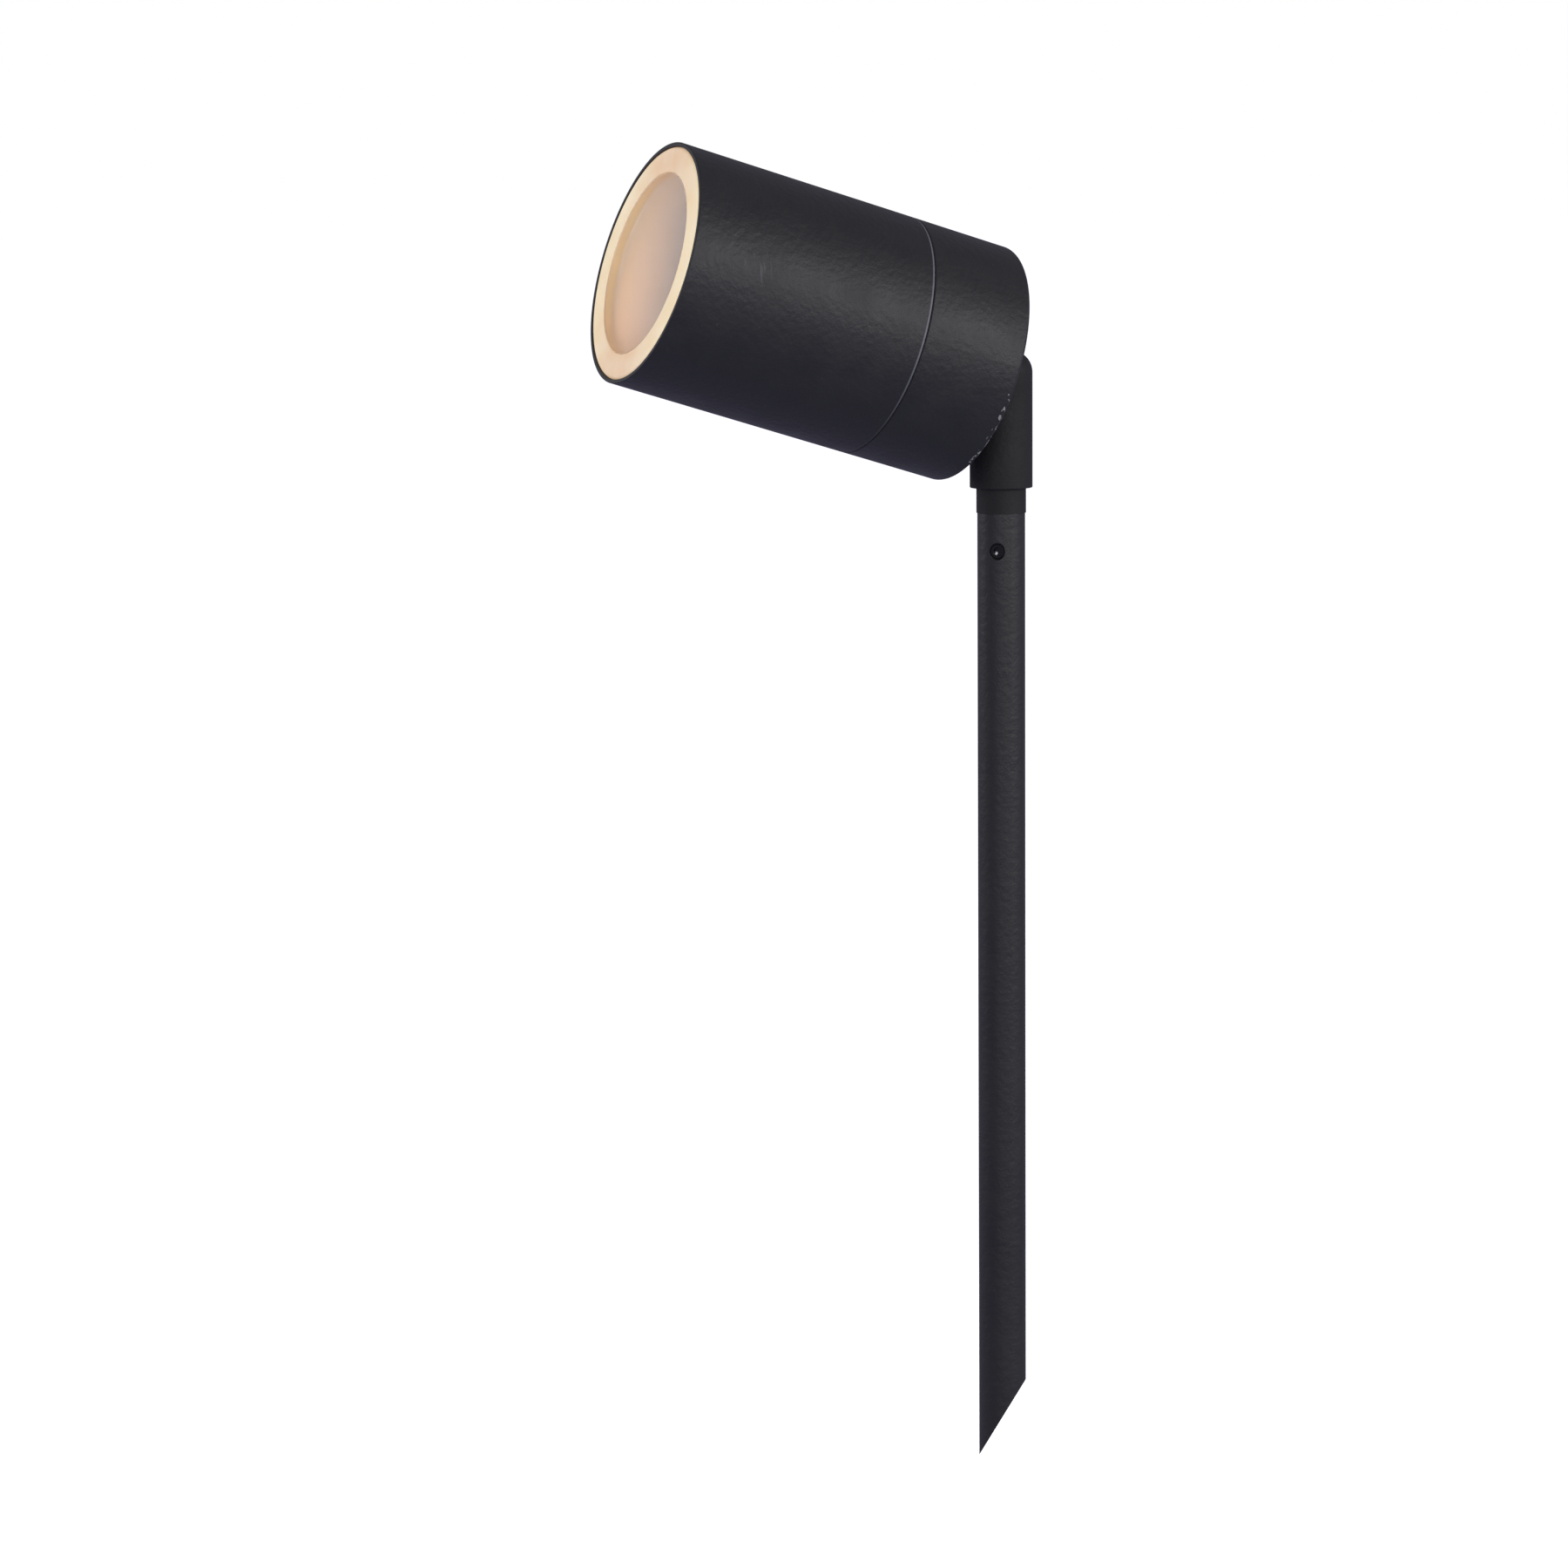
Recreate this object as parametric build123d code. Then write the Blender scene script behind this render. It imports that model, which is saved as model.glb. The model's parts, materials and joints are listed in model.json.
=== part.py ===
from build123d import *
import os
from math import cos, radians, sin

# Garden spike spotlight. Millimetres, +Z up. The origin is on the stake's axis at the ground line.
# The head faces -Y and is tilted up; its parts are drawn upright, with their origin at the centre
# of the head's back face, +Z forwards out of the lamp and +Y up, and HEAD then puts them in place.

# Stake: a thin tube, cut to a slanting point
TUBE_R = 6.3
TUBE_BORE_R = 4.8
TUBE_TOP_Z = 105.1
TIP_Z = -150.3
BEVEL_HEIGHT = 21.4
BEVEL_AZIMUTH = -125.0          # the point's side of the tube, degrees from +X
SET_SCREW_Z = 95.3
SET_SCREW_AZIMUTH = -35.0
SET_SCREW_REACH = (3.0, 5.8)    # its tip and its outer end, from the stake's axis
SET_SCREW_SOCKET = 2.0          # across flats

# Knuckle: the casting that turns in the tube and carries the head
KNUCKLE_R = 8.25
KNUCKLE_BOTTOM_Z = 111.7
KNUCKLE_TOP_Z = 147.7
KNUCKLE_ROUND = 6.0
SHOULDER_R = 6.53
SPIGOT_LENGTH = 25.0
SPIGOT_GROOVE_R = 2.9
SPIGOT_GROOVE_WIDTH = 4.4
SPIN_CLEARANCE = 0.08
PIVOT_Z = 141.5

# Head: a cylinder in two parts, the rear cap and the front barrel
HEAD_R = 31.5
HEAD_LENGTH = 94.5
HEAD_TILT = 17.0
PIVOT_GAP = 9.4                 # from the tilt axis to the head's back face
CAP_LENGTH = 27.9
SEAM_GAP = 0.1
SEAM_BEVEL = 0.25
BACK_WALL = 3.0
BACK_ROUND = 1.0
CAP_BORE_R = 28.5
NECK_R = 29.42                  # the cap's neck, which the barrel pushes over
NECK_BORE_R = 26.5
NECK_END = 39.5
BARREL_SOCKET_R = 29.5
BARREL_BORE_R = 29.0
RIM_BORE_R = 30.4
GLASS_SEAT = 89.3
ORING_PLACES = (31.3, 36.3)
ORING_R = 0.75
ORING_GROOVE = (2.2, 1.6)       # width and depth

# Lug and slot of the tilt joint
LUG_R = 6.2
LUG_THICKNESS = 5.0
SLOT_WIDTH = 6.0
SLOT_CLEARANCE = 0.3
PIVOT_R = 2.0
PIVOT_RUNNING_GAP = 0.05
PIVOT_HEAD_R = 3.8
PIVOT_COUNTERBORE = 4.9         # its floor, from the knuckle's mid-plane
SPRING_WASHER = 0.9             # thickness

# Glass and its gasket: the glass has a raised middle, level with the gasket's face
GLASS_R = 28.6
GLASS_BACK = 90.3
GLASS_STEP = 93.0
GLASS_FACE_R = 23.7
GASKET_LIP_R = 23.8
GASKET_BACK = 88.8              # the lip behind the glass, just clear of the lamp's rim
GASKET_BACK_LIP_R = 24.4
GASKET_ROUND = 0.5

# Lamp: a 50 mm reflector lamp with a two-pin twist-lock base
LAMP_R = 25.0
LAMP_BASE = 41.5
LAMP_FACE = 88.5
LAMP_WALL = 1.5
LAMP_NECK_R = 10.5
LENS_R = 23.5
LENS_BACK = 86.6
BOARD_R = 20.5
BOARD_SEAT = 77.0
BOARD_THICKNESS = 1.6
LED_RING_R = 11.0
PIN_CIRCLE_R = 5.0
PIN_R = 1.6
PIN_HEAD_R = 2.4
PIN_END = 34.5
PIN_NECK = 37.0
TWIST = 25.0                    # from locked to free, degrees

# Lamp holder and the bracket it stands on
HOLDER_R = 14.5
HOLDER_BACK = 26.1
HOLDER_FACE = 41.4
HOLDER_SCREW_Y = 9.5
HOLDER_SCREW_SEAT = 36.0
POCKET_FLOOR = 33.4
POCKET_ROOF = 37.3
SLOT_GAP = 0.25                 # round a pin's neck; twice that round its head
BRACKET_THICKNESS = 1.2
BRACKET_HALF_LENGTH = 24.3
PILLAR_X = 20.5
PILLAR_R = 3.8

# Wiring inside the rear cap
WIRE_R = 1.05
CRIMP_GAP = 0.02
TERMINAL_X = (-8.0, 0.0, 8.0)
TERMINAL_H = 9.0
TERMINAL_TOP = 16.0
TERMINAL_SCREW_Y = (-14.0, -6.0)
TERMINAL_FIXING = (4.0, -10.0)
LEAD_LEVEL = 20.5               # where the leads cross over the terminal block
LEAD_BEND_R = 3.5
EARTH_POST = (-17.0, -8.0)
EARTH_SEAT = 5.0
EARTH_LEAD_H = 6.2
GROMMET_Y = 17.0
GROMMET_R = 5.0
CABLE_R = 3.2
CLAMP_Y = 5.0
CLAMP_SCREW_X = 7.2
CLAMP_BOTTOM = 9.0
CLAMP_THICKNESS = 3.0

M3_R = 1.5
M25_R = 1.25
TAPPED_GAP = 0.03               # a thread is drawn as a plain shaft in a plain hole
FREE_GAP = 0.15
EDGE_BREAK = 0.3

LOW = (Align.CENTER, Align.CENTER, Align.MIN)
SIDES = (-1, 1)
HEAD = Pos(0, 0, PIVOT_Z) * Rot(90 - HEAD_TILT, 0, 0) * Pos(0, 0, PIVOT_GAP)


def rod(radius, low, high, x=0.0, y=0.0):
    """A round bar along Z, from one height to another."""
    return Pos(x, y, low) * Cylinder(radius, high - low, align=LOW)


def ring(outer, inner, low, high, x=0.0, y=0.0):
    return rod(outer, low, high, x, y) - rod(inner, low - 1, high + 1, x, y)


def block(xs, ys, zs):
    """A box between two x, two y and two z values."""
    size = [high - low for low, high in (xs, ys, zs)]
    middle = [(low + high) / 2 for low, high in (xs, ys, zs)]
    return Pos(*middle) * Box(*size)


def cross_rod(radius, left, right, z, y=0.0):
    """A round bar along X."""
    return Pos(left, y, z) * Rot(0, 90, 0) * Cylinder(radius, right - left, align=LOW)


def deep_rod(radius, back, front, z, x=0.0):
    """A round bar along Y."""
    return Pos(x, back, z) * Rot(-90, 0, 0) * Cylinder(radius, front - back, align=LOW)


def turned(*outline):
    """A solid of revolution about Z, from its half section as (radius, height) points."""
    face = make_face(Polyline(*[(r, 0, z) for r, z in outline], close=True))
    return revolve(face, Axis.Z, 360)


def socket(across_flats, low, high):
    """A hexagon socket's hole."""
    return Pos(0, 0, low) * extrude(RegularPolygon(across_flats / 2, 6, major_radius=False), high - low)


def pan_screw(radius, length):
    """A pan-head screw with a cross recess: the underside of its head at the origin, shank down -Z."""
    head_height = 1.2 * radius
    head = rod(1.85 * radius, 0, head_height)
    head = fillet(head.edges().group_by(Axis.Z)[-1], 0.5 * head_height)
    arm, width = (-1.1 * radius, 1.1 * radius), (-0.3 * radius, 0.3 * radius)
    recess = (0.4 * head_height, head_height + 1)
    head -= block(arm, width, recess) + block(width, arm, recess)
    shank = rod(radius, -length, 0)
    return head + chamfer(shank.edges().group_by(Axis.Z)[0], 0.25 * radius)


def cheeks(body, width):
    """The two flat faces that look along X and are that far apart."""
    flats = body.faces().filter_by(Axis.X)
    return [face for face in flats if abs(abs(face.center().X) - width / 2) < 0.01]


def group(shapes):
    return Compound(children=list(shapes))


# Stake


def stake_tube():
    body = ring(TUBE_R, TUBE_BORE_R, TIP_Z, TUBE_TOP_Z)
    # The cutting plane falls from the high side of the tube to the point.
    reach = 2 * TUBE_R
    slope = Polyline((-reach, 0, -2 * BEVEL_HEIGHT), (-reach, 0, BEVEL_HEIGHT),
                     (reach, 0, -BEVEL_HEIGHT), (reach, 0, -2 * BEVEL_HEIGHT), close=True)
    waste = extrude(make_face(slope), reach, both=True)
    body -= Pos(0, 0, TIP_Z + BEVEL_HEIGHT / 2) * Rot(0, 0, BEVEL_AZIMUTH) * waste
    hole = cross_rod(PIVOT_R + TAPPED_GAP, TUBE_BORE_R - 1, TUBE_R + 1, SET_SCREW_Z)
    countersink = Cone(PIVOT_R, PIVOT_R + 0.7, 0.7, align=LOW)
    hole += Pos(TUBE_R - 0.35, 0, SET_SCREW_Z) * Rot(0, 90, 0) * countersink
    return body - Rot(0, 0, SET_SCREW_AZIMUTH) * hole


def set_screw():
    tip, end = SET_SCREW_REACH
    body = rod(PIVOT_R, tip, end)
    body = chamfer(body.edges().group_by(Axis.Z)[0], 0.5)
    body = chamfer(body.edges().group_by(Axis.Z)[-1], 0.2)
    body -= socket(SET_SCREW_SOCKET, end - 1.5, end + 1)
    return Pos(0, 0, SET_SCREW_Z) * Rot(0, 0, SET_SCREW_AZIMUTH) * Rot(0, 90, 0) * body


# Knuckle


def tilt_slot():
    """The room that the head's lug sweeps, from level to upright, open to the front and the top."""
    half = SLOT_WIDTH / 2
    room = LUG_R + SLOT_CLEARANCE
    front = -KNUCKLE_R - 1
    above = KNUCKLE_TOP_Z + 1
    slot = cross_rod(room, -half, half, PIVOT_Z)
    slot += block((-half, half), (front, room), (PIVOT_Z, above))
    return slot + block((-half, half), (front, 0), (PIVOT_Z - room, above))


def knuckle():
    body = rod(KNUCKLE_R, KNUCKLE_BOTTOM_Z, KNUCKLE_TOP_Z)
    body = fillet(body.edges().group_by(Axis.Z)[-1], KNUCKLE_ROUND)
    body = chamfer(body.edges().group_by(Axis.Z)[0], 0.15)
    body += rod(SHOULDER_R, TUBE_TOP_Z, KNUCKLE_BOTTOM_Z)
    spigot_r = TUBE_BORE_R - SPIN_CLEARANCE
    spigot = rod(spigot_r, TUBE_TOP_Z - SPIGOT_LENGTH, TUBE_TOP_Z)
    body += chamfer(spigot.edges().group_by(Axis.Z)[0], 0.8)
    half_groove = SPIGOT_GROOVE_WIDTH / 2
    body -= ring(spigot_r + 1, SPIGOT_GROOVE_R, SET_SCREW_Z - half_groove, SET_SCREW_Z + half_groove)
    body -= tilt_slot()
    mouth = [edge for wall in cheeks(body, SLOT_WIDTH) for edge in wall.edges()
             if (edge @ 0.5).Y < -7 or (edge @ 0.5).Z > KNUCKLE_TOP_Z - 1]
    body = chamfer(mouth, EDGE_BREAK)
    body -= cross_rod(PIVOT_R + FREE_GAP, -KNUCKLE_R, 0, PIVOT_Z)
    body -= cross_rod(PIVOT_R + TAPPED_GAP, 0, KNUCKLE_R - 1.45, PIVOT_Z)
    return body - cross_rod(PIVOT_HEAD_R + 0.3, -KNUCKLE_R - 1, -PIVOT_COUNTERBORE, PIVOT_Z)


def pivot_screw():
    """Button-head screw that goes in from the left and threads into the right ear."""
    seat = PIVOT_COUNTERBORE + SPRING_WASHER
    head = rod(PIVOT_HEAD_R, seat, seat + PIVOT_R)
    head = fillet(head.edges().group_by(Axis.Z)[-1], 0.7 * PIVOT_R)
    screw = head + rod(PIVOT_R, -6.5, seat) - socket(2.5, seat + 0.6, seat + 3)
    return Pos(0, 0, PIVOT_Z) * Rot(0, -90, 0) * screw


def pivot_spring_washer():
    low, high = PIVOT_COUNTERBORE, PIVOT_COUNTERBORE + SPRING_WASHER
    washer = ring(3.5, PIVOT_R + FREE_GAP, low, high) - block((0, 5), (-0.4, 0.4), (low - 1, high + 1))
    return Pos(0, 0, PIVOT_Z) * Rot(0, -90, 0) * washer


def friction_washers():
    inner, outer = LUG_THICKNESS / 2 + 0.05, SLOT_WIDTH / 2
    pair = [ring(LUG_R - 0.4, PIVOT_R + FREE_GAP, *span) for span in ((inner, outer), (-outer, -inner))]
    return Pos(0, 0, PIVOT_Z) * Rot(0, 90, 0) * group(pair)


# Head, rear cap and what it holds


def lug():
    """The flat tongue on the back face, round the tilt axis at its end."""
    half = LUG_THICKNESS / 2
    body = block((-half, half), (-LUG_R, LUG_R), (-PIVOT_GAP, 1)) + cross_rod(LUG_R, -half, half, -PIVOT_GAP)
    body = chamfer([edge for cheek in cheeks(body, LUG_THICKNESS) for edge in cheek.edges()], EDGE_BREAK)
    return body - cross_rod(PIVOT_R + PIVOT_RUNNING_GAP, -half - 1, half + 1, -PIVOT_GAP)


def rear_cap():
    body = rod(HEAD_R, 0, CAP_LENGTH)
    body = fillet(body.edges().group_by(Axis.Z)[0], BACK_ROUND)
    body = chamfer(body.edges().group_by(Axis.Z)[-1], SEAM_BEVEL)
    neck = rod(NECK_R, CAP_LENGTH, NECK_END)
    body += chamfer(neck.edges().group_by(Axis.Z)[-1], 0.4)
    body -= rod(CAP_BORE_R, BACK_WALL, CAP_LENGTH - 4) + rod(NECK_BORE_R, BACK_WALL, NECK_END + 1)
    groove_width, groove_depth = ORING_GROOVE
    for h in ORING_PLACES:
        body -= ring(NECK_R + 1, NECK_R - groove_depth, h - groove_width / 2, h + groove_width / 2)
    bracket_back = HOLDER_BACK - BRACKET_THICKNESS
    for side in SIDES:
        body += rod(PILLAR_R, BACK_WALL, bracket_back, side * PILLAR_X)
        body -= rod(M3_R + TAPPED_GAP, bracket_back - 8, bracket_back + 1, side * PILLAR_X)
        body += rod(2.6, BACK_WALL, CLAMP_BOTTOM, side * CLAMP_SCREW_X, CLAMP_Y)
        body -= rod(M25_R + TAPPED_GAP, BACK_WALL + 0.5, CLAMP_BOTTOM + 1, side * CLAMP_SCREW_X, CLAMP_Y)
    body += rod(3.4, BACK_WALL, EARTH_SEAT, *EARTH_POST)
    body -= rod(M3_R + TAPPED_GAP, 1.0, EARTH_SEAT + 1, *EARTH_POST)
    body -= rod(M25_R + TAPPED_GAP, 1.0, BACK_WALL + 1, *TERMINAL_FIXING)
    body -= rod(GROMMET_R, -1, BACK_WALL + 1, 0, GROMMET_Y)
    return body + lug()


def housing_orings():
    """Two rings in the neck's grooves, which seal the barrel and grip it."""
    return group(Pos(0, 0, h) * Torus(NECK_R - ORING_R - 0.05, ORING_R) for h in ORING_PLACES)


def cable_grommet():
    """Rubber bush gripping the cap's wall, with a short tapered sleeve outside and inside."""
    neck, flange, sleeve, reach = GROMMET_R - 0.02, GROMMET_R + 1.5, GROMMET_R - 0.4, 6.0
    bush = turned((CABLE_R, -reach), (sleeve - 0.5, -reach), (sleeve, -reach + 0.5), (flange - 0.5, -1.8),
                  (flange, -1.2), (flange, 0), (neck, 0), (neck, BACK_WALL), (flange - 0.2, BACK_WALL),
                  (flange - 0.2, BACK_WALL + 1.2), (sleeve, reach), (CABLE_R, reach))
    return Pos(0, GROMMET_Y, 0) * bush


def cord_clamp():
    """Bar over the supply cable's run along the back wall, screwed to a post on each side."""
    top = CLAMP_BOTTOM + CLAMP_THICKNESS
    bar = block((-10, 10), (CLAMP_Y - 3, CLAMP_Y + 3), (CLAMP_BOTTOM, top))
    bar = fillet(bar.edges().filter_by(Axis.Z), 2.0)
    bar -= deep_rod(CABLE_R + 0.1, CLAMP_Y - 4, CLAMP_Y + 4, BACK_WALL + CABLE_R)
    for side in SIDES:
        bar -= rod(M25_R + FREE_GAP, CLAMP_BOTTOM - 1, top + 1, side * CLAMP_SCREW_X, CLAMP_Y)
    return bar


def cord_clamp_screws():
    seat = CLAMP_BOTTOM + CLAMP_THICKNESS
    screw = pan_screw(M25_R, 8.0)
    return group(Pos(side * CLAMP_SCREW_X, CLAMP_Y, seat) * screw for side in SIDES)


def terminal_block():
    body = block((-13, 13), (-18, -2), (BACK_WALL, TERMINAL_TOP))
    body = fillet(body.edges().filter_by(Axis.Z), 1.0)
    for x in (-4, 4):
        body -= block((x - 0.6, x + 0.6), (-20, 0), (TERMINAL_TOP - 3, TERMINAL_TOP + 1))
    for x in TERMINAL_X:
        body -= deep_rod(2.32, -20, 0, TERMINAL_H, x)
        for y in TERMINAL_SCREW_Y:
            body -= rod(1.9, TERMINAL_H, TERMINAL_TOP + 1, x, y)
    return body - rod(M25_R + FREE_GAP, 0, TERMINAL_TOP + 1, *TERMINAL_FIXING)


def terminal_tubes():
    """Three brass tubes that clamp the wires end to end."""
    tubes = []
    for x in TERMINAL_X:
        tube = deep_rod(2.3, -17, -3, TERMINAL_H, x) - deep_rod(1.5, -18, -2, TERMINAL_H, x)
        for y in TERMINAL_SCREW_Y:
            tube -= rod(M25_R + 0.05, TERMINAL_H, TERMINAL_H + 3, x, y)
        tubes.append(tube)
    return group(tubes)


def terminal_screws():
    screw = rod(M25_R, 0, 4.2) + rod(1.8, 2.2, 4.2) - block((-2, 2), (-0.25, 0.25), (3.4, 5))
    low = TERMINAL_H + WIRE_R + 0.1
    return group(Pos(x, y, low) * screw for x in TERMINAL_X for y in TERMINAL_SCREW_Y)


def terminal_fixing_screw():
    return Pos(*TERMINAL_FIXING, TERMINAL_TOP) * pan_screw(M25_R, TERMINAL_TOP - 1.4)


def holder_bracket():
    low, high = HOLDER_BACK - BRACKET_THICKNESS, HOLDER_BACK
    strip = block((-BRACKET_HALF_LENGTH, BRACKET_HALF_LENGTH), (-6, 6), (low, high))
    plate = fillet(strip.edges().filter_by(Axis.Z), 3.0) + rod(HOLDER_R - 1, low, high)
    for side in SIDES:
        plate -= rod(M3_R + FREE_GAP, low - 1, high + 1, side * PILLAR_X)
        plate -= rod(WIRE_R + 0.75, low - 1, high + 1, side * PIN_CIRCLE_R)
        plate -= rod(M3_R + TAPPED_GAP, low - 1, high + 1, 0, side * HOLDER_SCREW_Y)
    return plate


def bracket_screws():
    screw = pan_screw(M3_R, 8.0)
    return group(Pos(side * PILLAR_X, 0, HOLDER_BACK) * screw for side in SIDES)


def pin_slots(half_width, low, high):
    """The two curved slots that the lamp's pins turn in."""
    spare = 3.0
    slots = []
    for start in (0, 180):
        path = CenterArc((0, 0), PIN_CIRCLE_R, start - spare, TWIST + 2 * spare)
        slots.append(Pos(0, 0, low) * extrude(SlotArc(path, 2 * half_width), high - low))
    return slots[0] + slots[1]


def lamp_holder():
    """Ceramic holder: the pins drop in through the round ends of its slots and turn under its face."""
    above = HOLDER_FACE + 1
    head_room = PIN_HEAD_R + 2 * SLOT_GAP - 0.1
    body = rod(HOLDER_R, HOLDER_BACK, HOLDER_FACE)
    body = chamfer(body.edges().group_by(Axis.Z)[-1], 1.0)
    body -= pin_slots(head_room, POCKET_FLOOR, POCKET_ROOF)
    body -= pin_slots(PIN_R + SLOT_GAP, POCKET_ROOF - 0.3, above)
    for side in SIDES:
        x, y = (side * PIN_CIRCLE_R * turn(radians(TWIST)) for turn in (cos, sin))
        body -= rod(head_room, POCKET_ROOF - 0.3, above, x, y)
        body -= rod(1.45, HOLDER_BACK - 1, POCKET_FLOOR + 1, side * PIN_CIRCLE_R)
        body -= rod(M3_R + FREE_GAP, HOLDER_BACK - 1, HOLDER_FACE, 0, side * HOLDER_SCREW_Y)
        body -= rod(2 * M3_R, HOLDER_SCREW_SEAT, above, 0, side * HOLDER_SCREW_Y)
    return body


def holder_screws():
    screw = pan_screw(M3_R, HOLDER_SCREW_SEAT - HOLDER_BACK + BRACKET_THICKNESS)
    return group(Pos(0, side * HOLDER_SCREW_Y, HOLDER_SCREW_SEAT) * screw for side in SIDES)


def holder_contacts():
    """A plate under each pin, with a crimp barrel for the lead below it."""
    pair = []
    for side in SIDES:
        x = side * PIN_CIRCLE_R
        plate = block((x - 2.2, x + 2.2), (-1.7, 1.7), (POCKET_FLOOR, POCKET_FLOOR + 0.8))
        pair.append(plate + ring(1.4, WIRE_R + CRIMP_GAP, POCKET_FLOOR - 3.4, POCKET_FLOOR, x))
    return group(pair)


def wire(points, bend_radius):
    path = FilletPolyline(*points, radius=bend_radius)
    return sweep(Plane(origin=path @ 0, z_dir=path % 0) * Circle(WIRE_R), path=path)


def supply_lead(terminal_x, holder_x, loop_y):
    """Out of the terminal block, up beside it, across over it and up into the lamp holder."""
    return wire([(terminal_x, -15, TERMINAL_H), (terminal_x, loop_y, TERMINAL_H),
                 (terminal_x, loop_y, LEAD_LEVEL), (holder_x, 0, LEAD_LEVEL),
                 (holder_x, 0, POCKET_FLOOR - 0.2)], LEAD_BEND_R)


def lead_live():
    return supply_lead(TERMINAL_X[2], PIN_CIRCLE_R, -23.5)


def lead_neutral():
    return supply_lead(TERMINAL_X[1], -PIN_CIRCLE_R, -24.5)


def lead_earth():
    x, y = EARTH_POST
    return wire([(x, y - 5.5, EARTH_LEAD_H), (x, y - 12, EARTH_LEAD_H), (TERMINAL_X[0], -23.5, TERMINAL_H),
                 (TERMINAL_X[0], -15, TERMINAL_H)], 3.0)


def earth_tag():
    x, y = EARTH_POST
    high = EARTH_SEAT + 0.8
    eye = rod(3.2, EARTH_SEAT, high, x, y) + block((x - 1.3, x + 1.3), (y - 5, y), (EARTH_SEAT, high))
    eye += deep_rod(1.6, y - 8.5, y - 4.5, EARTH_LEAD_H, x)
    eye -= rod(M3_R + FREE_GAP, EARTH_SEAT - 1, high + 1, x, y)
    return eye - deep_rod(WIRE_R + CRIMP_GAP, y - 9, y - 5, EARTH_LEAD_H, x)


def earth_screw():
    return Pos(*EARTH_POST, EARTH_SEAT + 0.8) * pan_screw(M3_R, EARTH_SEAT - 0.4)


# Front barrel, with the glass


def front_barrel():
    rear = CAP_LENGTH + SEAM_GAP
    body = rod(HEAD_R, rear, HEAD_LENGTH)
    body = chamfer(body.edges().group_by(Axis.Z)[0], SEAM_BEVEL)
    body = chamfer(body.edges().group_by(Axis.Z)[-1], 0.2)
    body -= rod(BARREL_SOCKET_R, rear - 1, NECK_END + 1.5)
    return body - rod(BARREL_BORE_R, rear, HEAD_LENGTH) - rod(RIM_BORE_R, GLASS_SEAT, HEAD_LENGTH + 1)


def front_glass():
    """Toughened glass with a stepped edge."""
    face = rod(GLASS_FACE_R, GLASS_STEP, HEAD_LENGTH - 0.1)
    return rod(GLASS_R, GLASS_BACK, GLASS_STEP) + chamfer(face.edges().group_by(Axis.Z)[-1], 0.15)


def glass_gasket():
    """A silicone channel around the edge of the glass, its face level with the barrel's rim."""
    step_r = BARREL_BORE_R - 0.5
    return turned((RIM_BORE_R, GLASS_SEAT), (RIM_BORE_R, HEAD_LENGTH - GASKET_ROUND),
                  (RIM_BORE_R - GASKET_ROUND, HEAD_LENGTH), (GASKET_LIP_R + 0.2, HEAD_LENGTH),
                  (GASKET_LIP_R, HEAD_LENGTH - 0.2), (GASKET_LIP_R, GLASS_STEP), (GLASS_R, GLASS_STEP),
                  (GLASS_R, GLASS_BACK), (GASKET_BACK_LIP_R, GLASS_BACK), (GASKET_BACK_LIP_R, GASKET_BACK),
                  (step_r, GASKET_BACK), (step_r, GLASS_SEAT))


# Lamp


def lamp_housing():
    """Base, neck and flared body in one thin shell, with seats for the LED board and the lens."""
    floor = LAMP_BASE + LAMP_WALL
    flange_r, flare_start, flare_end = LAMP_NECK_R + 1.5, 54.0, 80.0
    seat_top = BOARD_SEAT + BOARD_THICKNESS
    neck_bore = LAMP_NECK_R - LAMP_WALL
    body = turned((0, LAMP_BASE), (flange_r - 0.6, LAMP_BASE), (flange_r, LAMP_BASE + 0.6),
                  (flange_r, 44), (LAMP_NECK_R, 45), (LAMP_NECK_R, flare_start), (LAMP_R - 1, flare_end),
                  (LAMP_R, flare_end + 1.5), (LAMP_R, LAMP_FACE - 0.6), (LAMP_R - 0.6, LAMP_FACE),
                  (LENS_R, LAMP_FACE), (LENS_R, LENS_BACK), (LENS_R - 1.3, LENS_BACK),
                  (BOARD_R, seat_top), (BOARD_R, BOARD_SEAT), (BOARD_R - LAMP_WALL, BOARD_SEAT),
                  (neck_bore, flare_start + 1), (neck_bore, floor), (0, floor))
    for side in SIDES:
        body -= rod(PIN_R + TAPPED_GAP, LAMP_BASE - 1, floor + 1, side * PIN_CIRCLE_R)
    return body


def lamp_lens():
    lens = rod(LENS_R - 0.02, LENS_BACK, LAMP_FACE - 0.3)
    return chamfer(lens.edges().group_by(Axis.Z)[-1], 0.3)


def lamp_led_board():
    """Aluminium disc with a hole for the driver's wires."""
    board = rod(BOARD_R - 0.05, BOARD_SEAT, BOARD_SEAT + BOARD_THICKNESS)
    return board - rod(1.5, BOARD_SEAT - 1, BOARD_SEAT + 3, 0, 5.5)


def lamp_leds():
    chip = Pos(0, 0, BOARD_SEAT + BOARD_THICKNESS) * Box(3.0, 3.0, 0.8, align=LOW)
    around = [Rot(0, 0, 60 * turn) * Pos(LED_RING_R, 0, 0) * chip for turn in range(6)]
    return group([chip, *around])


def lamp_driver():
    """A circuit board standing on the base's floor, with its capacitor, chokes and transformer."""
    board = block((-7.5, 7.5), (-0.6, 0.6), (LAMP_BASE + LAMP_WALL, 70))
    board += rod(3.0, 47, 58, -3, 3.5)
    board += block((-6, 5), (0.5, 8), (60, 66))
    board += block((0, 6), (-5, -0.5), (48, 56))
    return board + block((-5, 5), (-4, -0.5), (60, 64))


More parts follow.
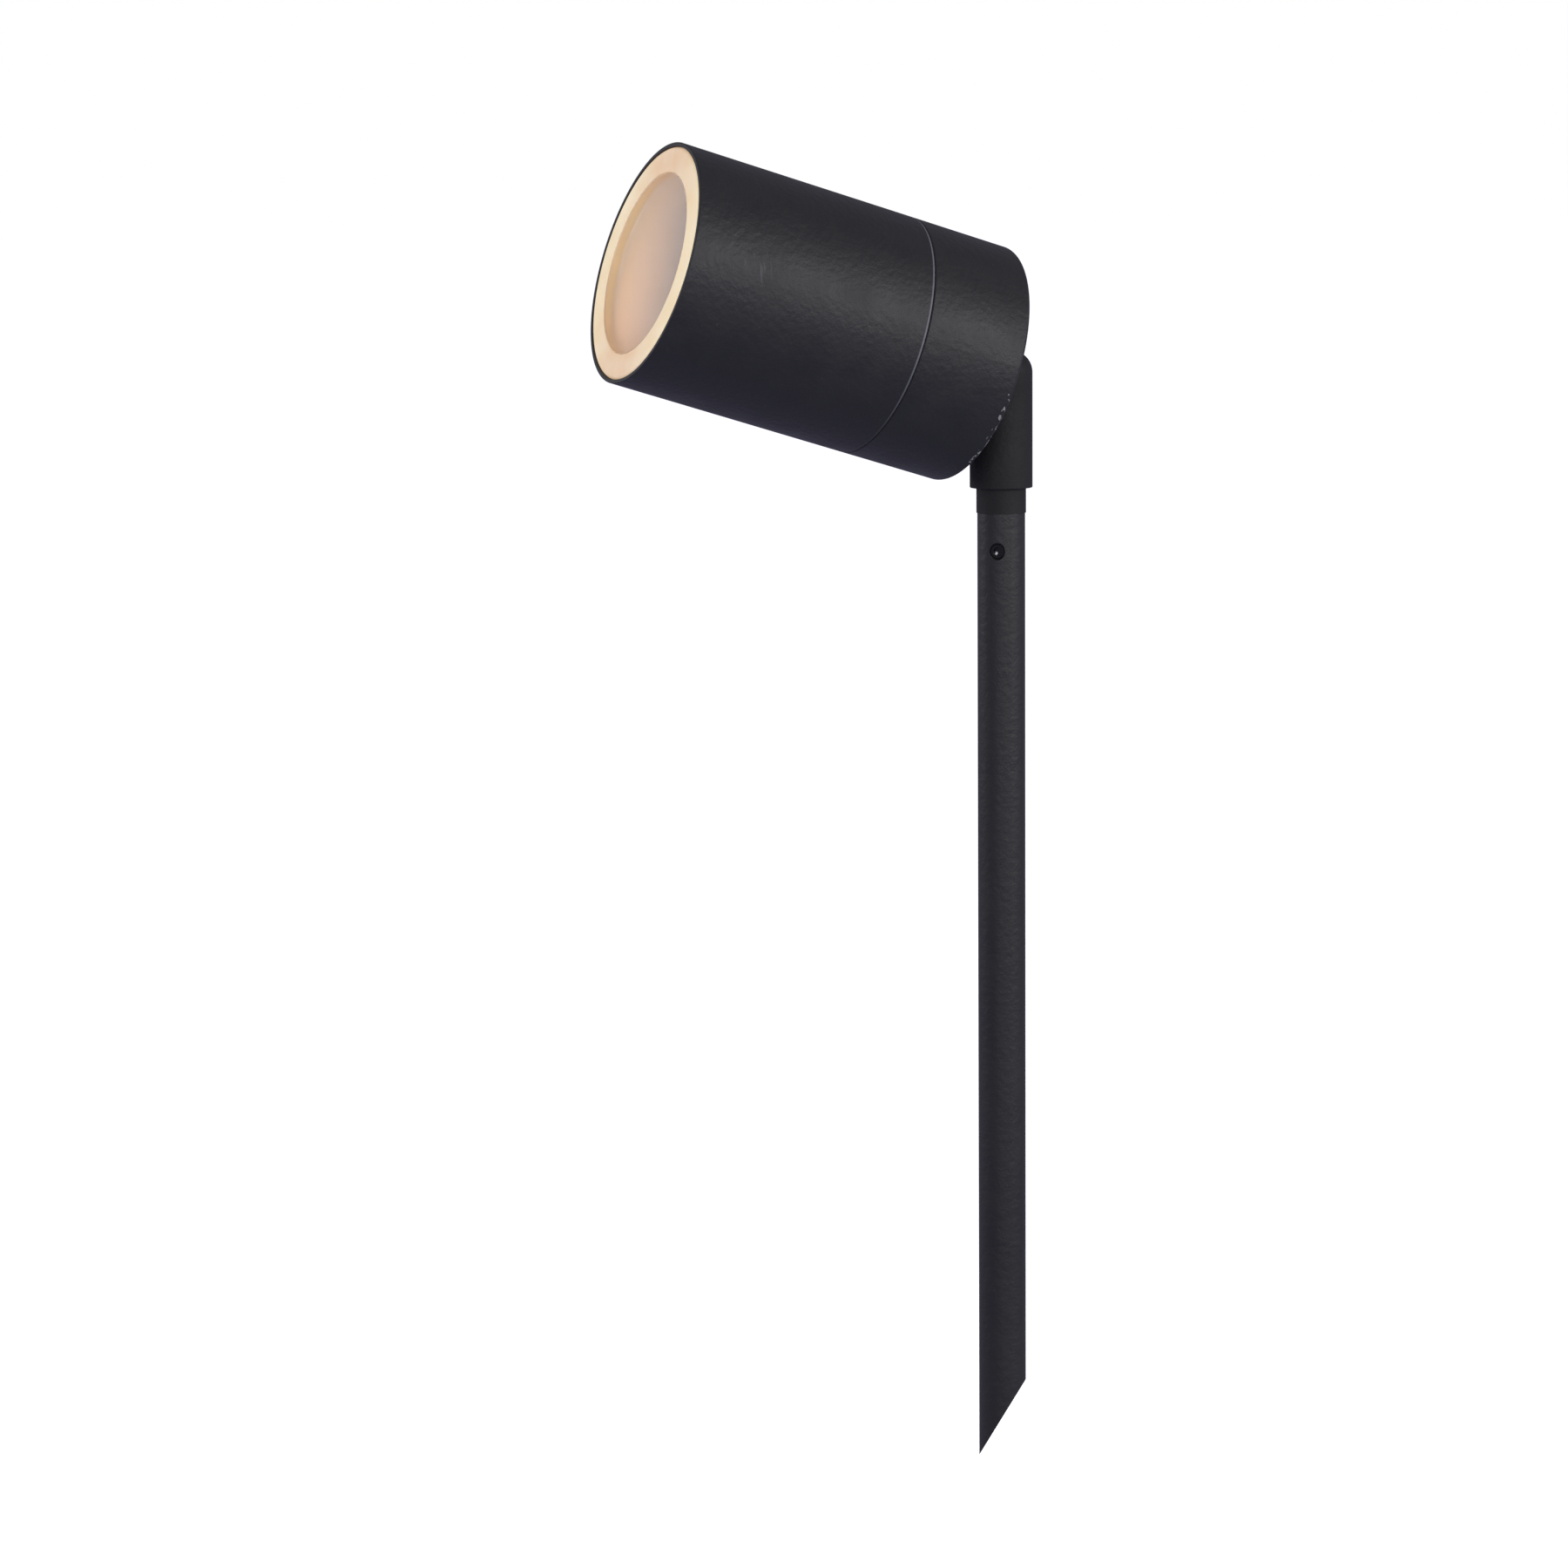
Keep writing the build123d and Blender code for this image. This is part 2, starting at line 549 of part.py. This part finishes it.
def lamp_pins():
    floor = LAMP_BASE + LAMP_WALL
    pin = turned((0, PIN_END), (PIN_HEAD_R - 0.4, PIN_END), (PIN_HEAD_R, PIN_END + 0.4),
                 (PIN_HEAD_R, PIN_NECK), (PIN_R, PIN_NECK), (PIN_R, floor), (0, floor))
    return group(Pos(side * PIN_CIRCLE_R, 0, 0) * pin for side in SIDES)


STANDING = [stake_tube, set_screw, knuckle, pivot_screw, pivot_spring_washer, friction_washers]
IN_HEAD = [rear_cap, housing_orings, cable_grommet, cord_clamp, cord_clamp_screws, terminal_block,
           terminal_tubes, terminal_screws, terminal_fixing_screw, holder_bracket, bracket_screws,
           lamp_holder, holder_screws, holder_contacts, lead_live, lead_neutral, lead_earth, earth_tag,
           earth_screw, front_barrel, front_glass, glass_gasket, lamp_housing, lamp_lens, lamp_led_board,
           lamp_leds, lamp_driver, lamp_pins]

os.makedirs("parts", exist_ok=True)
for make in STANDING:
    export_step(make(), f"parts/{make.__name__}.step")
for make in IN_HEAD:
    export_step(HEAD * make(), f"parts/{make.__name__}.step")
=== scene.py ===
import json
from math import atan2, cos, hypot, pi, radians, sin

import bmesh
import bpy
from mathutils import Matrix, Vector


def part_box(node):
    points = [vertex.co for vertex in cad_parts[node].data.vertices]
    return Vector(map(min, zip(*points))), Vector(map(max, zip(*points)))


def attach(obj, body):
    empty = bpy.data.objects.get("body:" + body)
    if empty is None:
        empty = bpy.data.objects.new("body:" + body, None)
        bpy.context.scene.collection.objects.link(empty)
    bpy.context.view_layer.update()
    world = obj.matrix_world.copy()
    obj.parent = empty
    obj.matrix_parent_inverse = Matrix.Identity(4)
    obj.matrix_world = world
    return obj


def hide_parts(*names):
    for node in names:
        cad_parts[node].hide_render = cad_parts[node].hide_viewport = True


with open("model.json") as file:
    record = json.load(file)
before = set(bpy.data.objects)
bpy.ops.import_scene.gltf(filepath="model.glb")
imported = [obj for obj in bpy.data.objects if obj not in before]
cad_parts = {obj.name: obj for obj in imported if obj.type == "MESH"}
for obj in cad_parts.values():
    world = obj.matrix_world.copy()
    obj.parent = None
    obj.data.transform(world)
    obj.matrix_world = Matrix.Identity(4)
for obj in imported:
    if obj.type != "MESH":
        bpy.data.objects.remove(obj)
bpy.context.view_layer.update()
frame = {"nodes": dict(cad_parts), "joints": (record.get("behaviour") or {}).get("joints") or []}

# The light stands on its stake's axis: +Z up, the head facing -Y and tilted up. A head part is drawn
# in millimetres, upright on the centre of the head's back face, with +Z forwards and +Y up, and HEAD
# then puts it where the head is.
MM = 0.001
BACK_FACE = 9.4         # from the tilt pivot to the head's back face, which the next heights start from
SEAM = 28.0             # where the barrel begins
MOUTH = 94.5            # the barrel's rim
BORE_STEP = 89.3        # the shoulder inside the rim, which the gasket sits on
GLASS_BACK = 90.3       # the glass's flange, which the gasket holds, from back to front
GLASS_STEP = 93.0
GLASS_R = 28.6
WINDOW_R = 23.8         # the gasket's opening, which the glass's raised middle fills

joints = {joint["name"]: joint for joint in frame["joints"]}
pivot = Vector(joints["tilt"]["pos_m"])
forward = Vector(joints["barrel_pull"]["axis"])
across = Vector((1, 0, 0))
head_up = forward.cross(across)
back_face = pivot + BACK_FACE * MM * forward
HEAD = Matrix.Translation(back_face) @ Matrix((across, head_up, forward)).transposed().to_4x4()
stake_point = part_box("stake_tube")[0].z
barrel_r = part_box("front_barrel")[1].x / MM


# Camera, beside the lamp at eye level


def add_camera():
    """A long lens a little above level, aimed below the head."""
    aim = Vector((-22.02, -53.25, 33.57)) * MM
    distance = 1186 * MM
    azimuth, elevation, roll = radians(67.47), radians(7.95), radians(-0.477)
    back = Vector((sin(azimuth) * cos(elevation), -cos(azimuth) * cos(elevation), sin(elevation)))
    data = bpy.data.cameras.new("camera")
    data.lens = 102.83
    data.sensor_width = 36.0
    camera = bpy.data.objects.new("camera", data)
    bpy.context.scene.collection.objects.link(camera)
    turn = (-back).to_track_quat("-Z", "Y").to_matrix().to_4x4() @ Matrix.Rotation(roll, 4, "Z")
    camera.matrix_world = Matrix.Translation(aim + distance * back) @ turn
    bpy.context.scene.camera = camera


# Materials


def colour(code):
    """A linear colour from an sRGB hex code."""
    parts = [int(code[i:i + 2], 16) / 255 for i in (1, 3, 5)]
    linear = [p / 12.92 if p <= 0.04045 else ((p + 0.055) / 1.055) ** 2.4 for p in parts]
    return (*linear, 1.0)


def add(tree, kind, inputs=None, **settings):
    """Adds a node. Each input is given a value, or another node's output to link it to."""
    node = tree.nodes.new("ShaderNode" + kind)
    for name, value in settings.items():
        setattr(node, name, value)
    for name, value in (inputs or {}).items():
        if isinstance(value, bpy.types.NodeSocket):
            tree.links.new(value, node.inputs[name])
        else:
            node.inputs[name].default_value = value
    return node


def begin(name):
    """A new material, its empty tree, and the coordinates that its patterns read."""
    material = bpy.data.materials.new(name)
    material.use_nodes = True
    tree = material.node_tree
    tree.nodes.clear()
    return material, tree, add(tree, "TexCoord").outputs["Object"]


def end(tree, inputs):
    """Closes a material with its one shader."""
    shader = add(tree, "BsdfPrincipled", inputs)
    add(tree, "OutputMaterial", {"Surface": shader.outputs["BSDF"]})


def blend_colours(tree, factor, first, second, low=0.0, high=1.0):
    """From one colour to another, as the factor goes from low to high."""
    share = add(tree, "MapRange", {"Value": factor, "From Min": low, "From Max": high})
    mix = add(tree, "Mix", {0: share.outputs["Result"], 6: first, 7: second}, data_type="RGBA")
    return mix.outputs[2]


def along_head(tree, place):
    """The height in front of the head's back face."""
    from_back = add(tree, "VectorMath", {0: place, 1: back_face}, operation="SUBTRACT").outputs["Vector"]
    return add(tree, "VectorMath", {0: from_back, 1: forward}, operation="DOT_PRODUCT").outputs["Value"]


def stock(name, code, other, patch, roughness, relief=0.0, **sockets):
    """An even material: colour and gloss change faintly in patches, with a relief at half their size."""
    material, tree, place = begin(name)
    patches = add(tree, "TexNoise", {"Vector": place, "Scale": 1 / (patch * MM), "Detail": 3.0})
    tint = blend_colours(tree, patches.outputs["Fac"], colour(code), colour(other), 0.35, 0.65)
    gloss = add(tree, "MapRange", {"Value": patches.outputs["Fac"], "From Min": 0.3, "From Max": 0.7,
                                   "To Min": roughness - 0.05, "To Max": roughness + 0.05})
    skin = add(tree, "TexNoise", {"Vector": place, "Scale": 1 / (patch / 2 * MM), "Detail": 4.0})
    bump = add(tree, "Bump", {"Height": skin.outputs["Fac"], "Distance": relief * MM})
    inputs = {key.replace("_", " ").title(): value for key, value in sockets.items() if key != "ior"}
    if "ior" in sockets:
        inputs["IOR"] = sockets["ior"]
    end(tree, {"Base Color": tint, "Roughness": gloss.outputs["Result"], "Normal": bump.outputs["Normal"],
               **inputs})
    return material


def flecks(tree, place, spot, full, reach, size, stretch):
    """Scattered marks: high where one is, and fading out from one distance off a spot to another."""
    away = add(tree, "VectorMath", {0: place, 1: spot}, operation="DISTANCE").outputs["Value"]
    fade = add(tree, "MapRange", {"Value": away, "From Min": full * MM, "From Max": reach * MM,
                                  "To Min": 0.0, "To Max": -0.2})
    drawn_out = add(tree, "VectorMath", {0: place, 1: stretch}, operation="MULTIPLY").outputs["Vector"]
    grains = add(tree, "TexNoise", {"Vector": drawn_out, "Scale": 1 / (size * MM), "Detail": 1.0})
    faded = {0: grains.outputs["Fac"], 1: fade.outputs["Result"]}
    return add(tree, "Math", faded, operation="ADD").outputs["Value"]


def powder_coat(name, code, other, roughness, highlight_height=None, scuff=None, speck_spot=None):
    """Matt black polyester powder coat, baked on: a fine pebbled skin with a dull, broad sheen.

    Behind a highlight height, a height along the head, a painted highlight turns the coat grey, dimmer
    underneath. About a scuff it has faint upright streaks. About a speck spot, the head's rear rim has
    small light-grey specks."""
    material, tree, place = begin(name)
    clouds = add(tree, "TexNoise", {"Vector": place, "Scale": 1 / (9 * MM), "Detail": 3.0})
    tint = blend_colours(tree, clouds.outputs["Fac"], colour(code), colour(other), 0.35, 0.65)
    if highlight_height is not None:
        # Painted highlight: the coat's rear edge is lightened to grey, darker lower down.
        level = add(tree, "SeparateXYZ", {"Vector": place}).outputs["Z"]
        highlight_tint = blend_colours(tree, level, colour("#2c2c2f"), colour("#6a6a70"), 127 * MM, 150 * MM)
        height = along_head(tree, place)
        tint = blend_colours(tree, height, highlight_tint, tint, highlight_height * MM, (highlight_height + 0.25) * MM)
    if scuff is not None:
        streaks = flecks(tree, place, scuff, 3, 7, 0.8, (1, 1, 0.05))
        tint = blend_colours(tree, streaks, tint, colour("#3c3c3e"), 0.56, 0.68)
    if speck_spot is not None:
        # Small light-grey specks on the rear rim, only near one spot.
        on_rim = {0: along_head(tree, place), 1: 0.8 * MM, 2: 0.6 * MM}
        rim = add(tree, "Math", on_rim, operation="COMPARE").outputs["Value"]
        nearby = flecks(tree, place, speck_spot, 9, 14, 1.2, (1, 1, 1))
        chips = add(tree, "Math", {0: nearby, 1: rim}, operation="MULTIPLY").outputs["Value"]
        tint = blend_colours(tree, chips, tint, colour("#8a8a88"), 0.58, 0.63)
    gloss = add(tree, "MapRange", {"Value": clouds.outputs["Fac"], "From Min": 0.3, "From Max": 0.7,
                                   "To Min": roughness - 0.04, "To Max": roughness + 0.04})
    pebbles = add(tree, "TexNoise", {"Vector": place, "Scale": 1 / (1.8 * MM), "Detail": 3.0})
    pebbled = add(tree, "Bump", {"Height": pebbles.outputs["Fac"], "Distance": 0.22 * MM})
    grains = add(tree, "TexNoise", {"Vector": place, "Scale": 1 / (0.5 * MM), "Detail": 2.0})
    grained = add(tree, "Bump", {"Height": grains.outputs["Fac"], "Distance": 0.03 * MM,
                                 "Normal": pebbled.outputs["Normal"]})
    end(tree, {"Base Color": tint, "Roughness": gloss.outputs["Result"], "IOR": 1.5,
               "Normal": grained.outputs["Normal"]})
    return material


def silicone():
    """Cream silicone rubber, moulded: soft and slightly see-through, so that light glows inside it.

    Its face glows with painted light, strongest at its two sides and towards its front."""
    material, tree, place = begin("silicone_cream")
    clouds = add(tree, "TexNoise", {"Vector": place, "Scale": 1 / (9 * MM), "Detail": 3.0})
    tint = blend_colours(tree, clouds.outputs["Fac"], colour("#ecd4ac"), colour("#f4e6c6"), 0.35, 0.65)
    # Painted light: the face gives off cream light, more at its sides and front, though the rubber is no
    # lamp.
    sideways = add(tree, "SeparateXYZ", {"Vector": place}).outputs["X"]
    aside = add(tree, "Math", {0: sideways}, operation="ABSOLUTE").outputs["Value"]
    painted_glow = blend_colours(tree, aside, colour("#d4aa80"), colour("#ecdcb0"), 6 * MM, 25 * MM)
    depth = add(tree, "MapRange", {"Value": along_head(tree, place), "From Min": 90 * MM,
                                   "From Max": MOUTH * MM, "To Min": 0.2, "To Max": 0.45})
    end(tree, {"Base Color": tint, "Roughness": 0.45, "IOR": 1.41, "Subsurface Weight": 0.3,
               "Subsurface Radius": (1.0, 0.7, 0.4), "Subsurface Scale": 1 * MM,
               "Emission Color": painted_glow, "Emission Strength": depth.outputs["Result"]})
    return material


def satin_glass():
    """Toughened glass, etched to a satin finish: it passes the lamp's light but hides its details."""
    material, tree, place = begin("glass_satin")
    etching = add(tree, "TexNoise", {"Vector": place, "Scale": 1 / (0.6 * MM), "Detail": 2.0})
    bump = add(tree, "Bump", {"Height": etching.outputs["Fac"], "Distance": 0.006 * MM})
    end(tree, {"Base Color": colour("#f6f2ee"), "Roughness": 0.4, "IOR": 1.52,
               "Transmission Weight": 1.0, "Normal": bump.outputs["Normal"]})
    return material


def lit_lens():
    """Frosted polycarbonate lit warm from behind, with painted shade: strongest low down, fading to grey.
    """
    material, tree, place = begin("lens_frosted_lit")
    flat = Vector((1.0, 0.6, 0.6))
    squashed = add(tree, "VectorMath", {0: place, 1: flat}, operation="MULTIPLY").outputs["Vector"]
    # Painted shade: the lamp's light on the lens falls off with distance from one spot low down.
    painted_light_spot = flat * (HEAD @ (Vector((-14, -14, 84)) * MM))
    away = add(tree, "VectorMath", {0: squashed, 1: painted_light_spot}, operation="DISTANCE").outputs["Value"]
    painted_glow = blend_colours(tree, away, colour("#fbc088"), colour("#0c0a08"), 2 * MM, 34 * MM)
    end(tree, {"Base Color": colour("#a8aaa8"), "Roughness": 0.4, "IOR": 1.58,
               "Emission Color": painted_glow, "Emission Strength": 1.1})
    return material


def black_oxide():
    """Blackened steel: dark and oily, with a dull shine."""
    return stock("steel_black_oxide", "#242426", "#2e2e30", 1.5, 0.3, metallic=1.0)


def set_screw_steel():
    """Blackened steel, with a painted glint at the foot of its socket."""
    material, tree, place = begin("steel_black_oxide_painted_glint")
    # Painted glint: a small bright spot in the screw's socket, where light would catch it.
    painted_glint = Vector((3.31, -2.93, 94.75)) * MM
    away = add(tree, "VectorMath", {0: place, 1: painted_glint}, operation="DISTANCE").outputs["Value"]
    tint = blend_colours(tree, away, colour("#c4c4c6"), colour("#222224"), 0.2 * MM, 0.45 * MM)
    end(tree, {"Base Color": tint, "Metallic": 1.0, "Roughness": 0.3})
    return material


def zinc_plate():
    """Bright zinc plating on steel: a slightly blue silver, a little cloudy."""
    return stock("steel_zinc_plated", "#b9bcc0", "#cfd1d4", 2.0, 0.3, 0.004, metallic=1.0)


def brass():
    """Rolled brass, handled: yellow, dulled in places."""
    return stock("brass_rolled", "#c9a55c", "#dcbb73", 2.5, 0.32, 0.004, metallic=1.0)


def nylon():
    """Unfilled nylon, turned: a waxy off-white."""
    return stock("nylon_natural", "#ddd8c8", "#e6e1d4", 2.0, 0.45, 0.004, ior=1.53)


def nitrile():
    """Moulded nitrile rubber: soft black with a greyish bloom."""
    return stock("rubber_nitrile", "#1d1d1e", "#2a2a2b", 3.0, 0.7, 0.01, ior=1.52)


def white_polyamide():
    """Moulded white polyamide, with the mould's fine spark-eroded grain."""
    return stock("polyamide_white", "#e1e0da", "#eae9e4", 1.0, 0.45, 0.01, ior=1.53)


def steatite():
    """Fired steatite ceramic, unglazed: chalky cream with fine specks."""
    return stock("ceramic_steatite", "#ded6c4", "#ece6d8", 0.8, 0.75, 0.015, ior=1.57)


def sleeve(name, code, other):
    """Silicone insulation on a lead: an even colour with a soft shine."""
    return stock(name, code, other, 4.0, 0.4, 0.003, ior=1.43)


def lamp_plastic():
    """The lamp's body, moulded white PBT: smooth, with a satin shine."""
    return stock("pbt_white", "#dcdad5", "#e6e4e0", 5.0, 0.38, 0.006, ior=1.57)


def board_aluminium():
    """The white solder mask on the lamp's aluminium board."""
    return stock("board_white_mask", "#e4e4e2", "#efefed", 3.0, 0.35, 0.002, ior=1.5)


def phosphor():
    """Yellow phosphor in silicone over each chip, lit."""
    return stock("phosphor_yellow", "#e8b83c", "#f0c858", 0.5, 0.4, 0.002, ior=1.41,
                 emission_color=colour("#ffd9a0"), emission_strength=2.0)


def board_fibreglass():
    """Green solder mask over woven fibreglass."""
    return stock("board_green_mask", "#1d5a34", "#266b40", 1.0, 0.3, 0.004, ior=1.5)


def dress(material, *nodes):
    """Gives CAD nodes their material."""
    for name in nodes:
        slots = frame["nodes"][name].data.materials
        slots.clear()
        slots.append(material)


# Turned pieces


def turned(outline, place, steps=160):
    """A mesh turned about Z from the closed outline of its half section, in millimetres.

    Each corner is (radius, height, rounding)."""
    shape = bmesh.new()
    corners = [(shape.verts.new((r, 0, z)), rounding) for r, z, rounding in outline]
    verts = [vert for vert, rounding in corners]
    for one, other in zip(verts, verts[1:] + verts[:1]):
        if one.co.x > 0 or other.co.x > 0:
            shape.edges.new((one, other))
    for vert, rounding in corners:
        if rounding:
            bmesh.ops.bevel(shape, geom=[vert], offset=rounding, segments=5, profile=0.5,
                            affect="VERTICES", material=-1)
    bmesh.ops.spin(shape, geom=shape.verts[:] + shape.edges[:], cent=(0, 0, 0), axis=(0, 0, 1),
                   angle=2 * pi, steps=steps, use_merge=True)
    bmesh.ops.remove_doubles(shape, verts=shape.verts, dist=1e-4)
    bmesh.ops.recalc_face_normals(shape, faces=shape.faces)
    bmesh.ops.transform(shape, matrix=place @ Matrix.Scale(MM, 4), verts=shape.verts)
    return shape


def finish_piece(name, shape, material, body, node):
    """Makes the object from its mesh, evenly shaded, in place of a CAD node."""
    mesh = bpy.data.meshes.new(name)
    shape.to_mesh(mesh)
    shape.free()
    mesh.shade_smooth()
    mesh.set_sharp_from_angle(angle=radians(35))
    mesh.materials.append(material)
    piece = bpy.data.objects.new(name, mesh)
    bpy.context.scene.collection.objects.link(piece)
    even = piece.modifiers.new("even_shading", "WEIGHTED_NORMAL")
    even.keep_sharp = True
    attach(piece, body)
    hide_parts(node)


def barrel_shell(material):
    """The front barrel: a thin tube with softly rounded lips, where the coat has flowed round the edge."""
    rim_bore, bore, neck_bore, neck_stop = 30.4, 29.0, 29.5, 41.0
    outline = [(barrel_r, SEAM, 0.45), (barrel_r, MOUTH, 0.3), (rim_bore, MOUTH, 0.2),
               (rim_bore, BORE_STEP, 0), (bore, BORE_STEP, 0.2), (bore, neck_stop, 0.1),
               (neck_bore, neck_stop, 0.1), (neck_bore, SEAM, 0.2)]
    shape = turned(outline, HEAD)
    finish_piece("barrel_shell", shape, material, "barrel", "front_barrel")


def gasket_ring(material):
    """The silicone channel round the glass, its face rounded off towards the rim."""
    outer_r, lip_outer_r, lip_inner_r, lip_back = 30.38, 28.5, 24.4, 88.8
    outline = [(outer_r, BORE_STEP, 0.2), (outer_r, MOUTH, 1.0), (WINDOW_R, MOUTH, 0.3),
               (WINDOW_R, GLASS_STEP, 0), (GLASS_R, GLASS_STEP, 0), (GLASS_R, GLASS_BACK, 0),
               (lip_inner_r, GLASS_BACK, 0), (lip_inner_r, lip_back, 0.3), (lip_outer_r, lip_back, 0.2),
               (lip_outer_r, BORE_STEP, 0)]
    shape = turned(outline, HEAD)
    finish_piece("gasket_ring", shape, material, "barrel", "glass_gasket")


def glass_disc(material):
    """The toughened glass: its raised middle fills the gasket's opening."""
    raised_r, front = 23.7, 94.4
    outline = [(0, GLASS_BACK, 0), (GLASS_R, GLASS_BACK, 0.3), (GLASS_R, GLASS_STEP, 0.3),
               (raised_r, GLASS_STEP, 0), (raised_r, front, 0.2), (0, front, 0)]
    shape = turned(outline, HEAD)
    finish_piece("glass_disc", shape, material, "barrel", "front_glass")


def lamp_shell(material):
    """The lamp's body in one thin shell. Its flare is fluted, to shed the board's heat."""
    start, stop, narrow, wide = 54.0, 80.0, 10.5, 24.0
    flutes, flute_depth = 20, 0.8
    slope = (wide - narrow) / (stop - start)
    flare = [(narrow + slope * (z - start), z, 0) for z in range(56, 80, 2)]
    outline = [(0, 41.5, 0), (12.0, 41.5, 0.5), (12.0, 44.0, 0.3), (10.5, 45.0, 0.3), (narrow, start, 0.8),
               *flare, (wide, stop, 0.3), (25.0, 81.5, 0.4), (25.0, 88.5, 0.5), (23.5, 88.5, 0.1),
               (23.5, 86.6, 0), (22.2, 86.6, 0), (20.5, 78.6, 0), (20.5, 77.0, 0), (19.0, 77.0, 0),
               (9.0, 55.0, 0), (9.0, 43.0, 0), (0, 43.0, 0)]
    shape = turned(outline, Matrix())
    for vert in shape.verts:
        r, z = hypot(vert.co.x, vert.co.y) / MM, vert.co.z / MM
        if start < z < stop and r > narrow + slope * (z - start) - 0.3:
            fade = min((z - start) / 4, (stop - z) / 3, 1)
            depth = flute_depth * fade * (1 - cos(flutes * atan2(vert.co.y, vert.co.x))) / 2
            vert.co.xy *= 1 - depth / r
    bmesh.ops.transform(shape, matrix=HEAD, verts=shape.verts)
    finish_piece("lamp_shell", shape, material, "lamp", "lamp_housing")


def lens_plate(material):
    """The lamp's front: a plate with a shallow dome over each of its seven chips."""
    back, front, plate_r = 86.6, 87.5, 23.48
    chip_circle_r, dome_r, dome_height = 11.0, 5.2, 0.65
    face = [(r / 2, front, 0) for r in range(44, -1, -1)]
    outline = [(0, back, 0), (plate_r, back, 0), (plate_r, front, 0.3), *face]
    shape = turned(outline, Matrix(), 192)
    ring = [k * pi / 3 for k in range(6)]
    chips = [(0, 0)] + [(chip_circle_r * cos(turn), chip_circle_r * sin(turn)) for turn in ring]
    for vert in shape.verts:
        x, y, z = vert.co / MM
        if z > front - 0.05:
            away = min(hypot(x - cx, y - cy) for cx, cy in chips)
            vert.co.z += dome_height * MM * max(0, 1 - (away / dome_r) ** 2)
    bmesh.ops.transform(shape, matrix=HEAD, verts=shape.verts)
    finish_piece("lens_plate", shape, material, "lamp", "lamp_lens")


# Studio: white all round, with soft boxes to the right, beside the camera and in front of the head


def add_world():
    """White behind the object. As light it is dim, and bluish below."""
    world = bpy.data.worlds.new("studio")
    world.use_nodes = True
    tree = world.node_tree
    tree.nodes.clear()
    seen = add(tree, "Background", {"Color": colour("#ffffff"), "Strength": 1.0})
    height = add(tree, "SeparateXYZ", {"Vector": add(tree, "TexCoord").outputs["Generated"]}).outputs["Z"]
    tint = blend_colours(tree, height, colour("#9290ac"), colour("#8c8a98"), -0.5, 0.5)
    light = add(tree, "Background", {"Color": tint, "Strength": 1.0})
    by_camera = add(tree, "LightPath").outputs["Is Camera Ray"]
    both = add(tree, "MixShader", {0: by_camera, 1: light.outputs[0], 2: seen.outputs[0]})
    add(tree, "OutputWorld", {"Surface": both.outputs[0]})
    bpy.context.scene.world = world


def add_soft_box(name, centre, aim, width, height, watts):
    """A rectangular light, turned to face its aim."""
    data = bpy.data.lights.new(name, "AREA")
    data.shape = "RECTANGLE"
    data.size, data.size_y = width, height
    data.energy = watts
    lamp = bpy.data.objects.new(name, data)
    bpy.context.scene.collection.objects.link(lamp)
    centre, aim = Vector(centre), Vector(aim)
    turn = (aim - centre).to_track_quat("-Z", "Y").to_matrix().to_4x4()
    lamp.matrix_world = Matrix.Translation(centre) @ turn


def add_floor():
    """A pale floor just under the stake's point, which gives the head's underside no light."""
    bpy.ops.mesh.primitive_plane_add(size=40, location=(0, 0, stake_point - 0.5 * MM))
    floor = bpy.context.object
    floor.name = "floor"
    material, tree = begin("floor_white")[:2]
    end(tree, {"Base Color": colour("#f8f8f8"), "Roughness": 0.9, "Emission Color": colour("#ffffff"),
               "Emission Strength": 0.8})
    floor.data.materials.append(material)
    floor.visible_diffuse = False
    floor.visible_glossy = False


add_camera()
add_world()
add_soft_box("side_box", (1.24, 0.79, 0.47), (0, 0, 0.1), 1.6, 0.5, 13.5)
add_soft_box("fill_box", (1.29, -0.75, 0.35), (0, 0, 0.1), 0.9, 0.5, 5)
add_soft_box("front_box", (-0.9, -1.3, 0.5), (0, -0.1, 0.15), 0.6, 0.6, 6)
add_floor()

# The stake and the head have one black coat, and the knuckle a blacker and duller one.
coat_black = ("#161618", "#1b1b1c", 0.55)
rear_rim_spot = HEAD @ (Vector((25.5, -18, 0.5)) * MM)
side_scuff = HEAD @ (Vector((30.9, 6.0, 76)) * MM)
dress(powder_coat("powder_coat_smooth", *coat_black), "stake_tube")
dress(powder_coat("powder_coat_cap", *coat_black, speck_spot=rear_rim_spot), "rear_cap")
dress(powder_coat("powder_coat_casting", "#0a0a0b", "#0e0e0f", 0.75), "knuckle")
# The barrel's coat takes a painted highlight on its first half millimetre from the seam.
barrel_shell(powder_coat("powder_coat_barrel", *coat_black, SEAM + 0.5, side_scuff))
gasket_ring(silicone())
glass_disc(satin_glass())
lens_plate(lit_lens())
dress(set_screw_steel(), "set_screw")
dress(black_oxide(), "pivot_screw")
dress(zinc_plate(), "pivot_spring_washer", "cord_clamp_screws", "terminal_screws", "terminal_fixing_screw",
      "holder_bracket", "bracket_screws", "holder_screws", "earth_screw", "lamp_pins")
dress(brass(), "terminal_tubes", "holder_contacts", "earth_tag")
dress(nylon(), "friction_washers")
dress(nitrile(), "housing_orings", "cable_grommet")
dress(white_polyamide(), "cord_clamp", "terminal_block")
dress(steatite(), "lamp_holder")
dress(sleeve("sleeve_brown", "#5a3420", "#6b4028"), "lead_live")
dress(sleeve("sleeve_blue", "#2456a8", "#2f63b8"), "lead_neutral")
dress(sleeve("sleeve_green", "#4f8a2a", "#5c9a35"), "lead_earth")
lamp_shell(lamp_plastic())
dress(board_aluminium(), "lamp_led_board")
dress(phosphor(), "lamp_leds")
dress(board_fibreglass(), "lamp_driver")

bpy.context.scene.view_settings.view_transform = "Standard"
